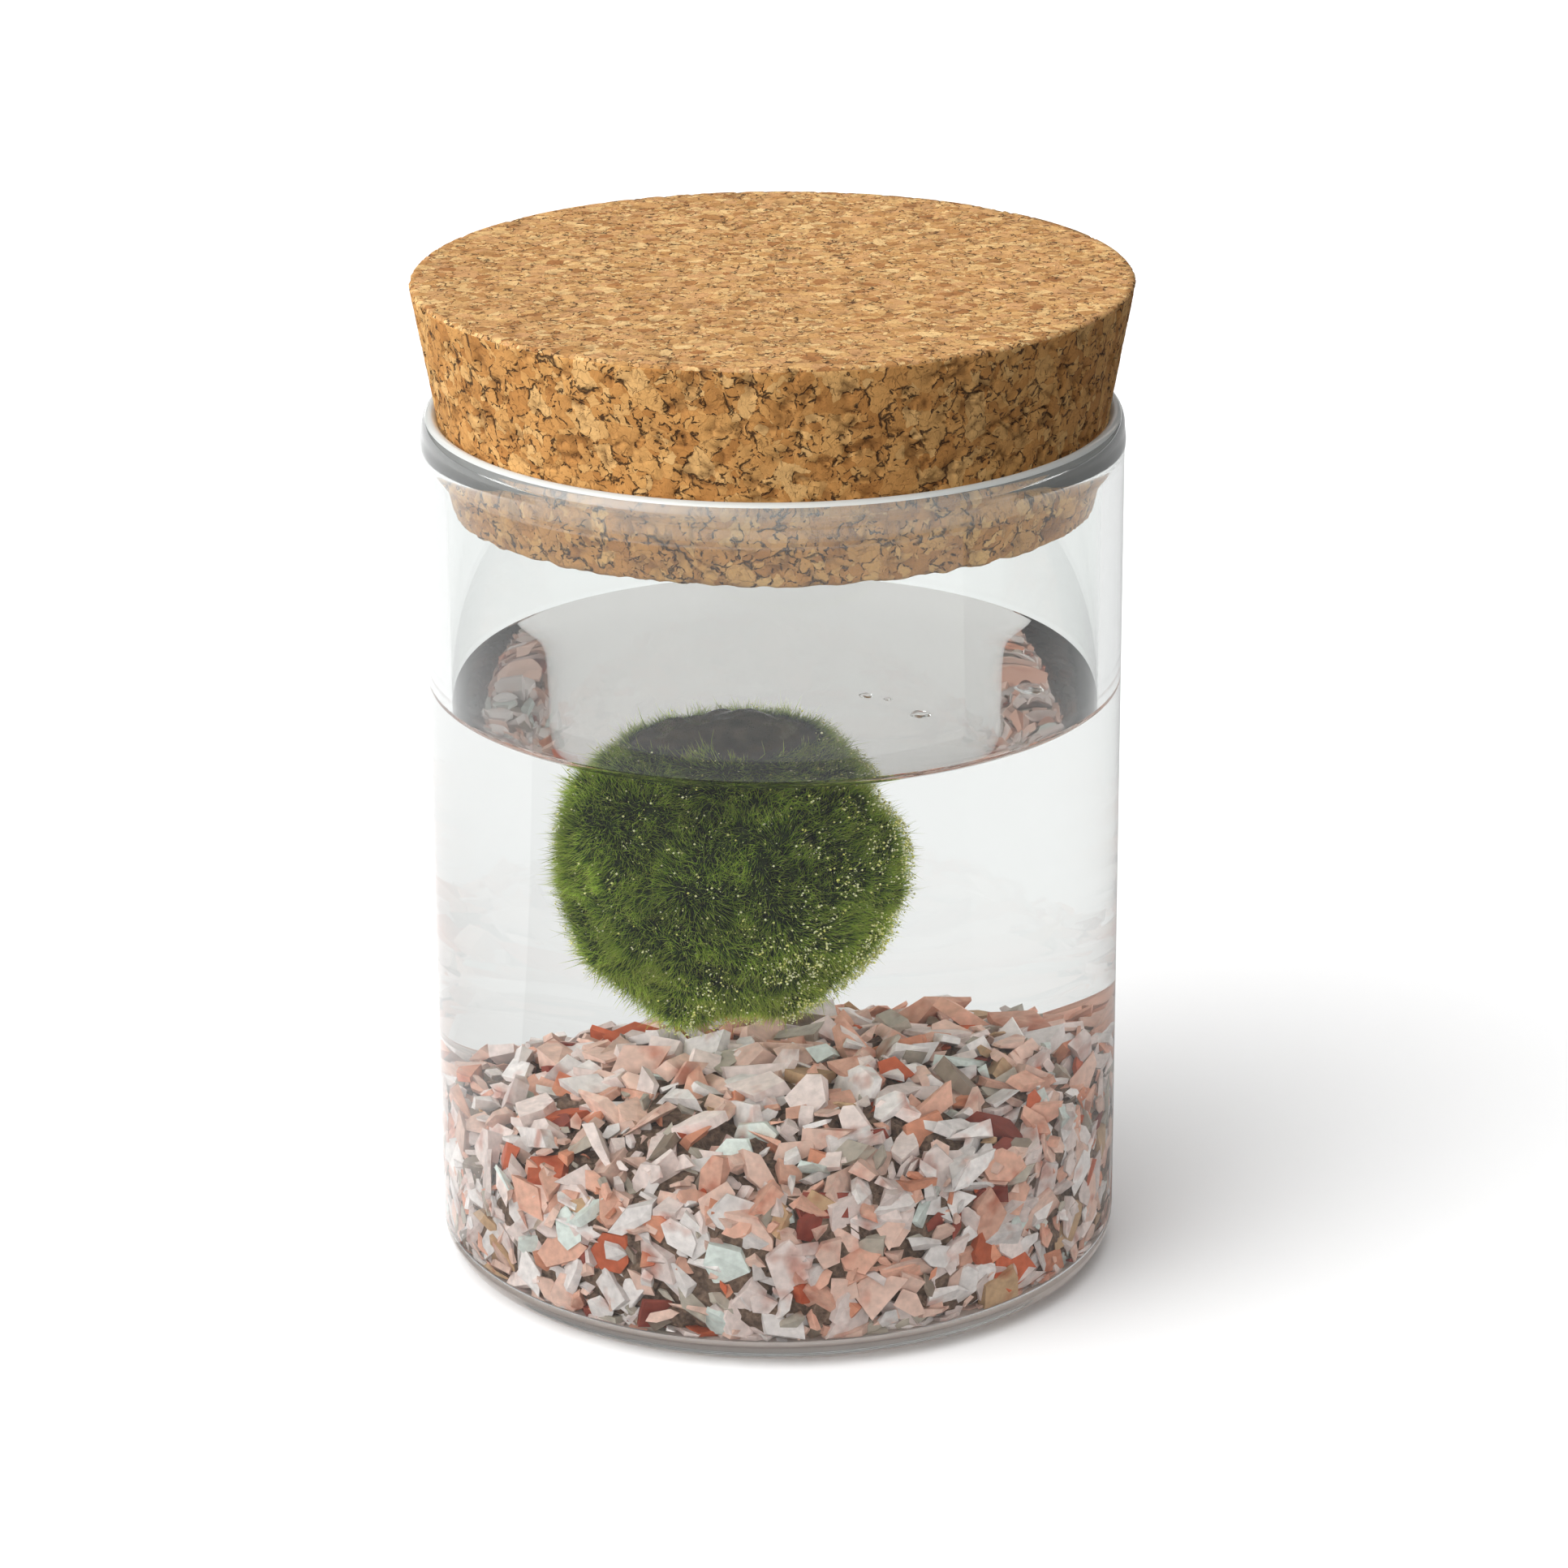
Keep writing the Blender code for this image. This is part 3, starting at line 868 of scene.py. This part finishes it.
def blade_corners(root, foot, out, long, curl, side):
    """Each filament's corners: two at its foot, two at its bent middle, and its tip."""
    middle = root + out * (long * 0.55)[:, None] + curl * 0.35
    tip = root + out * long[:, None] + curl
    narrow = side * 0.8
    return np.stack([foot - side, foot + side, middle - narrow, middle + narrow, tip], axis=1)


def build_fuzz(core, hair, seed, name, count, length, width, stray, pale):
    """Filaments as tapered bent blades, rooted over the core and drawn together in locks.

    stray is how far they turn from the locks and pale how far up the tones, from painted shade
    towards painted glow, their tips reach. Those under the wet film are pressed down to stubs.
    """
    rng = np.random.default_rng(seed)
    root, normal = surface_samples(core.data, count, rng)
    flow = np.stack([noise_at(root, 170.0, k) for k in (1.0, 4.0, 8.0)], axis=1)
    lock = np.stack([noise_at(root, 520.0, k) for k in (2.0, 5.0, 7.0)], axis=1)
    out = unit(normal + 0.8 * flow + 0.7 * lock + rng.normal(size=(count, 3)) * stray)
    long = length * (0.6 + 0.6 * rng.random(count) ** 1.3)
    wet = wetness(root)
    long *= 1.0 - 0.93 * wet
    curl = unit(rng.normal(size=(count, 3)) + flow) * (long * 0.25)[:, None]
    side = unit(np.cross(out, rng.normal(size=(count, 3)))) * width / 2
    foot = root - normal * ROOT_DEPTH
    points = blade_corners(root, foot, out, long, curl, side)
    blade = np.array([[0, 1, 3], [0, 3, 2], [2, 3, 4]])
    triangles = np.arange(count)[:, None, None] * points.shape[1] + blade[None]
    colours = np.ones((count, 5, 4))
    # How far up the painted shade-to-glow tones each corner lies: short and wet filaments stay darker.
    colours[:, :, 0] = np.array([0.0, 0.0, 0.55, 0.55, 1.0]) * pale * (1.0 - 0.7 * wet)[:, None]
    colours[:, :, 1] = rng.random(count)[:, None]
    clump = 0.5 + 0.55 * noise_at(foot, 260.0, 2.0) + 0.3 * lock[:, 0]
    colours[:, :, 2] = np.clip(clump, 0.0, 1.0)[:, None]
    mesh = array_mesh(name, points, triangles, colours)
    mesh.shade_smooth()
    show(name, mesh, hair)


def octahedron():
    """Corners and outward faces of an octahedron of radius one."""
    corners = np.concatenate([np.eye(3), -np.eye(3)])
    faces = np.array([[a, b, c] for a in (0, 3) for b in (1, 4) for c in (2, 5)])
    inward = np.linalg.det(corners[faces]) < 0
    faces[inward] = faces[inward][:, ::-1]
    return corners, faces


def build_bubbles(core, count):
    """Oxygen bubbles caught on the filaments, thickest low on the right, as beads painted with their
    glint.
    """
    rng = np.random.default_rng(SEED + 5)
    place, normal = surface_samples(core.data, count * 6, rng)
    away = unit(place - np.array((BALL_LOW + BALL_HIGH) / 2))
    thick = 0.14 + 0.86 * np.clip(0.9 * away[:, 0] - 0.6 * away[:, 2], 0, 1)
    thick *= np.clip(0.5 + 1.1 * noise_at(place, 200.0, 3.0), 0.1, 1.0)
    keep = (rng.random(len(place)) < thick) & (place[:, 2] < OPEN_LEVEL - MM)
    lift = (BUBBLE_LIFT[0] + BUBBLE_LIFT[1] * rng.random(len(place))) * MM
    place = (place + normal * lift[:, None])[keep][:count]
    size = (BUBBLE_SIZE[0] + BUBBLE_SIZE[1] * rng.random(len(place)) ** 2.0) * MM
    corners, faces = octahedron()
    points = place[:, None, :] + corners[None] * size[:, None, None]
    triangles = np.arange(len(place))[:, None, None] * len(corners) + faces[None]
    mesh = array_mesh("glinting_oxygen_beads", points, triangles)
    mesh.shade_smooth()
    show("glinting_oxygen_beads", mesh, bubble_glint_material())


# -------- the gravel


def on_bed(starts, ways):
    """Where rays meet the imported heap, with the heap's outward directions there."""
    tree = BVHTree.FromObject(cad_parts["gravel_bed"], bpy.context.evaluated_depsgraph_get())
    points, normals = [], []
    for start, way in zip(starts, ways):
        point, normal, _, _ = tree.ray_cast(Vector(start), Vector(way))
        if point is not None:
            points.append(point)
            normals.append(-normal if normal.dot(Vector(way)) > 0 else normal)
    return np.array(points), np.array(normals)


def add_plate(bm, rng):
    """Corners of one uneven flat plate, with slanting edges and sometimes a low peak."""
    corners = int(rng.integers(4, 7))
    narrow = rng.uniform(0.50, 0.98)
    thick = rng.uniform(0.11, 0.26)
    turn = rng.uniform(0, math.tau)
    angles = [math.tau * (i + rng.uniform(-0.33, 0.33)) / corners for i in range(corners)]
    reach = [rng.uniform(0.72, 1.12) for _ in angles]
    slant = rng.uniform(-0.16, 0.16, 2)
    for level in (-1.0, 1.0):
        for angle, out in zip(angles, reach):
            out = out * (1.0 + rng.uniform(-0.13, 0.05))
            x, y = out * math.cos(angle + turn), out * math.sin(angle + turn) * narrow
            z = thick * level * rng.uniform(0.65, 1.1) + (slant[0] * x + slant[1] * y) * level
            bm.verts.new((x, y, z))
    if rng.random() < 0.3:
        bm.verts.new((rng.uniform(-0.35, 0.35), rng.uniform(-0.25, 0.25), 1.25 * thick))


def chip_form(rng):
    """Points and triangles of one broken chip: the hull of an uneven plate."""
    bm = bmesh.new()
    add_plate(bm, rng)
    bmesh.ops.convex_hull(bm, input=bm.verts[:], use_existing_faces=False)
    loose = [v for v in bm.verts if not v.link_faces]
    bmesh.ops.delete(bm, geom=loose, context="VERTS")
    bmesh.ops.triangulate(bm, faces=bm.faces[:])
    bmesh.ops.recalc_face_normals(bm, faces=bm.faces[:])
    bm.verts.index_update()
    points = np.array([v.co for v in bm.verts])
    faces = np.array([[v.index for v in f.verts] for f in bm.faces])
    bm.free()
    return points, faces


def keep_in_jar(points):
    """Press points back inside the glass: its bore, floor and the fillet between."""
    radius = from_axis(points)
    squeeze = np.minimum(1.0, (BORE - CHIP_CLEARANCE) / np.maximum(radius, 1e-9))
    points[:, :2] *= squeeze[:, None]
    points[:, 2] = np.maximum(points[:, 2], FLOOR + CHIP_CLEARANCE)
    radius = from_axis(points)
    out = radius - (BORE - FLOOR_FILLET)
    down = (FLOOR + FLOOR_FILLET) - points[:, 2]
    far = np.hypot(out, down)
    room = FLOOR_FILLET - CHIP_CLEARANCE
    over = (out > 0) & (down > 0) & (far > room)
    scale = np.where(over, room / np.maximum(far, 1e-9), 1.0)
    new_radius = np.where(over, BORE - FLOOR_FILLET + out * scale, radius)
    points[:, :2] *= (new_radius / np.maximum(radius, 1e-9))[:, None]
    points[:, 2] = np.where(over, FLOOR + FLOOR_FILLET - down * scale, points[:, 2])
    return points


def spread(places, sizes, room, rng):
    """Which of some places to keep, so that no two chips of a layer overlap much."""
    kept = []
    order = np.argsort(-sizes * rng.uniform(0.6, 1.0, len(sizes)))
    chosen = np.empty((0, 3))
    chosen_sizes = np.empty(0)
    for i in order:
        far = np.linalg.norm(chosen - places[i], axis=1)
        if np.all(far > room * (chosen_sizes + sizes[i])):
            kept.append(i)
            chosen = np.vstack([chosen, places[i]])
            chosen_sizes = np.append(chosen_sizes, sizes[i])
    return np.array(kept)


def lay_chip(form, place, normal, size, lean, rng):
    """One chip's points where it lies: leaning, turned about and drawn in from the glass."""
    upright = Vector(normal).to_track_quat("Z", "Y").to_matrix()
    leaning = Euler((rng.normal() * lean, rng.normal() * lean, 0.0)).to_matrix()
    spin = Euler((0.0, 0.0, rng.uniform(0, math.tau))).to_matrix()
    scale = size * np.array([1.1, rng.uniform(0.75, 1.15), rng.uniform(0.7, 1.3)])
    points = (form * scale) @ np.array(upright @ leaning @ spin).T + place
    over = from_axis(points).max() - (BORE - CHIP_OFF_WALL)
    if over > 0:
        points[:, :2] -= place[:2] / np.hypot(*place[:2]) * over
    return points


def build_chips(name, material, layers, lean, seed):
    """Chips lying on the places of some layers, each leaning and of its own tint."""
    rng = np.random.default_rng(seed)
    forms = [chip_form(rng) for _ in range(CHIP_FORMS)]
    shares = np.array([share for _, share in CHIP_TINTS], dtype=float)
    shares /= shares.sum()
    tints = np.array([srgb(*colour) for colour, _ in CHIP_TINTS])
    all_points, all_faces, all_colours, start = [], [], [], 0
    for places, normals, sizes in layers:
        kept = spread(places, sizes, CHIP_ROOM, rng)
        for place, normal, size in zip(places[kept], normals[kept], sizes[kept]):
            form, faces = forms[rng.integers(len(forms))]
            points = lay_chip(form, place, normal, size, lean, rng)
            tint = tints[rng.choice(len(tints), p=shares)]
            colour = np.clip(tint * rng.uniform(0.82, 1.08), 0, 1)
            all_points.append(points)
            all_faces.append(faces + start)
            all_colours.append(np.tile(np.append(colour, 1.0), (len(points), 1)))
            start += len(points)
    points = keep_in_jar(np.concatenate(all_points))
    mesh = array_mesh(name, points, np.concatenate(all_faces), np.concatenate(all_colours))
    mesh.shade_flat()
    show(name, mesh, material)


def chip_sizes(count, rng):
    """Half-lengths of chips: crumbs to plates."""
    median, spread_of_logs, least, most = CHIP_SIZES
    return np.clip(rng.lognormal(math.log(median), spread_of_logs, count), least, most) * MM


def scatter(rng, count, reach, height):
    """Random places spread evenly over a level disc."""
    radius = reach * np.sqrt(rng.random(count))
    angle = rng.uniform(0, math.tau, count)
    return np.stack([radius * np.cos(angle), radius * np.sin(angle), np.full(count, height)], axis=1)


def sunk_layer(places, normals, depth, rng):
    """A layer of chips at about a depth below some places of the heap's surface."""
    depths = depth + rng.uniform(-0.15, 0.15, len(places)) * MM
    return places - normals * depths[:, None], normals, chip_sizes(len(places), rng)


def top_layer(rng, depth):
    """Chips over the heap's top, about a depth below its surface."""
    starts = scatter(rng, TOP_TRIES, BORE - MM, WATER_LEVEL)
    places, normals = on_bed(starts, np.tile([0.0, 0.0, -1.0], (TOP_TRIES, 1)))
    return sunk_layer(places, normals, depth, rng)


def wall_layer(rng, depth):
    """Chips against the glass, from the floor to the heap's edge, about a depth behind it."""
    angle = rng.uniform(0, math.tau, WALL_TRIES)
    out = np.stack([np.cos(angle), np.sin(angle), np.zeros(WALL_TRIES)], axis=1)
    starts = out * JAR_RADIUS
    starts[:, 2] = rng.uniform(FLOOR + 0.4 * MM, BED_HIGH.z, WALL_TRIES)
    places, normals = on_bed(starts, -out)
    at_wall = from_axis(places) > BORE - 2.6 * MM
    return sunk_layer(places[at_wall], normals[at_wall], depth, rng)


def floor_layer(rng, lift):
    """Chips face down on the jar's floor."""
    places = scatter(rng, FLOOR_TRIES, BORE - 2 * MM, FLOOR + lift)
    return places, np.tile([0.0, 0.0, -1.0], (FLOOR_TRIES, 1)), chip_sizes(FLOOR_TRIES, rng)


def build_grit():
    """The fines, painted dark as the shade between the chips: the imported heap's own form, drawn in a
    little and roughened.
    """
    grit = welded_copy("coral_grit", "gravel_bed")
    bm = bmesh.new()
    bm.from_mesh(grit.data)
    bmesh.ops.triangulate(bm, faces=bm.faces[:])
    bmesh.ops.subdivide_edges(bm, edges=bm.edges[:], cuts=1, use_grid_fill=True)
    bm.to_mesh(grit.data)
    bm.free()
    points = get_points(grit.data)
    inward = unit(np.array([0.0, 0.0, FLOOR + 6 * MM]) - points)
    depth = GRIT_DEPTH + 0.35 * MM * noise_at(points, 500.0)
    points = points + inward * depth[:, None]
    points[:, 2] = np.maximum(points[:, 2], FLOOR + 0.9 * MM)
    set_points(grit.data, points)
    dress(grit, grit_shade_material())
    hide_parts("gravel_bed")


def build_gravel(chip):
    """The heap: chips over its top, against the glass and on the floor, over grit painted dark as shade.
    """
    rng = np.random.default_rng(SEED)
    tops = [top_layer(rng, sunk * MM) for sunk in TOP_SUNK]
    walls = [wall_layer(rng, sunk * MM) for sunk in WALL_SUNK]
    floors = [floor_layer(rng, lift * MM) for lift in FLOOR_LIFT]
    build_grit()
    build_chips("coral_chips_top", chip, tops, TOP_LEAN, SEED + 1)
    build_chips("coral_chips_wall", chip, walls, WALL_LEAN, SEED + 2)
    build_chips("coral_chips_floor", chip, floors, FLOOR_LEAN, SEED + 3)


# -------- the studio


def stage_disc(name, radius, height, grey, seen_by, hole=0.0, sector=(0.0, 360.0), glow=0.0):
    """A level disc or sector of one grey round the object, seen by some rays only."""
    steps = 96
    verts, faces = [], []
    for reach in (max(hole, 0.001 * MM), radius):
        for angle in np.radians(np.linspace(*sector, steps + 1)):
            verts.append((reach * math.cos(angle), reach * math.sin(angle), height))
    for k in range(steps):
        faces.append((k, steps + 1 + k, steps + 2 + k, k + 1))
    mesh = bpy.data.meshes.new(name)
    mesh.from_pydata(verts, [], faces)
    disc = new_object(name, mesh)
    mat, tree, shader = principled(name)
    dull = {"Roughness": 0.9, "Specular IOR Level": 0.1}
    light = {"Emission Color": (1.0, 1.0, 1.0, 1.0), "Emission Strength": glow}
    fill(tree, shader, {"Base Color": (grey, grey, grey, 1.0), **dull, **light})
    mesh.materials.append(mat)
    for kind in ("camera", "diffuse", "glossy", "transmission", "shadow"):
        setattr(disc, "visible_" + kind, kind in seen_by)


def build_stage():
    """A plain pale floor, and cards by it that only some kinds of rays meet.

    Light that bounces meets a dim card in the floor's place, so that little comes up from
    below. Reflections meet darker cards at the front, right and back, which keep the floor's
    glare off the glass. Rays through glass and water meet a grey card round the jar, which
    sets it off from the floor, and a soft glow under it, which keeps its base from going dark.
    """
    stage_disc("floor", FLOOR_REACH, -0.05 * MM, 0.90, ("camera", "glossy", "transmission"))
    stage_disc("dim_card", FLOOR_REACH, -0.10 * MM, 0.30, ("diffuse",))
    stage_disc("dark_card", NEAR_REACH, 0.4 * MM, 0.30, ("glossy",), CARD_HOLE, (190, 330))
    stage_disc("side_card", WIDE_REACH, 0.4 * MM, 0.40, ("glossy",), CARD_HOLE, (-30, 75))
    stage_disc("back_card", WIDE_REACH, 0.4 * MM, 0.40, ("glossy",), CARD_HOLE, (75, 105))
    stage_disc("glow_card", CARD_HOLE, -0.02 * MM, 0.0, ("transmission",), glow=0.55)
    stage_disc("grey_card", WIDE_REACH, 0.2 * MM, 0.66, ("transmission",), CARD_HOLE)


def facing(tree, way, towards):
    """How far a direction faces along another, as their dot product."""
    made = add(tree, "ShaderNodeVectorMath", {0: way, 1: towards}, operation="DOT_PRODUCT")
    return made.outputs["Value"]


def light_lobe(tree, way, towards, strength, focus):
    """The strength of one soft light in a direction."""
    lit = math_node(tree, "MAXIMUM", facing(tree, way, towards.normalized()), 0.0)
    return times(tree, math_node(tree, "POWER", lit, focus), strength)


def soft_tent(tree, way, lamps, level, slope, glow):
    """An even light with a slope to it, and some of the lamps' glow."""
    even = math_node(tree, "ADD", facing(tree, way, slope), level)
    return math_node(tree, "ADD", even, times(tree, lamps, glow))


def build_light():
    """A studio with soft light from overhead and from the left."""
    world = bpy.data.worlds.new("studio")
    bpy.context.scene.world = world
    world.use_nodes = True
    tree = world.node_tree
    way = add(tree, "ShaderNodeTexCoord").outputs["Generated"]
    lamps = 0.0
    for lamp in LAMPS:
        lamps = math_node(tree, "ADD", light_lobe(tree, way, *lamp), lamps)
    height = add(tree, "ShaderNodeSeparateXYZ", {0: way}).outputs["Z"]
    lamps = times(tree, lamps, math_node(tree, "GREATER_THAN", height, 0.0))
    ray = add(tree, "ShaderNodeLightPath").outputs
    lighting = math_node(tree, "GREATER_THAN", ray["Diffuse Depth"], 0.5)
    tent = soft_tent(tree, way, lamps, *TENT)
    inside = soft_tent(tree, way, lamps, *INSIDE)
    through = choose(tree, ray["Is Transmission Ray"], lamps, choose(tree, lighting, tent, inside))
    shown = math_node(tree, "SUBTRACT", 1.0, lighting)
    mirrored = times(tree, ray["Is Glossy Ray"], shown)
    shine = math_node(tree, "ADD", lamps, SHINE)
    background = tree.nodes["Background"]
    background.inputs["Color"].default_value = (1.0, 1.0, 1.0, 1.0)
    tree.links.new(choose(tree, mirrored, through, shine), background.inputs["Strength"])


def set_light_paths():
    """Plain colours, and bounces enough for light to pass the glass and water."""
    scene = bpy.context.scene
    scene.view_settings.view_transform = "Standard"
    scene.cycles.max_bounces = 20
    scene.cycles.transmission_bounces = 20
    scene.cycles.diffuse_bounces = 3
    scene.cycles.glossy_bounces = 8
    scene.cycles.sample_clamp_indirect = 4.0


def build_camera():
    """The photograph's view."""
    data = bpy.data.cameras.new("camera")
    data.sensor_width = 36.0
    data.lens = data.sensor_width * FOCAL_PIXELS / PHOTO_SIDE
    data.clip_start = 0.01
    data.clip_end = 20.0
    camera = new_object("camera", data)
    camera.location = CAMERA_PLACE
    turn = Euler((math.pi / 2 - CAMERA_PITCH, 0.0, 0.0)).to_matrix()
    roll = Matrix.Rotation(CAMERA_ROLL, 3, "Z")
    camera.rotation_euler = (turn @ roll).to_euler()
    bpy.context.scene.camera = camera


build_camera()
build_stage()
build_light()
set_light_paths()
build_jar()
build_cork()
moss = build_core()
moss_hair = moss_hair_material()
for number, layer in enumerate(FILAMENTS):
    build_fuzz(moss, moss_hair, SEED + 11 + number, *layer)
build_bubbles(moss, BUBBLES)
build_water(moss)
build_droplets()
build_gravel(chip_material())
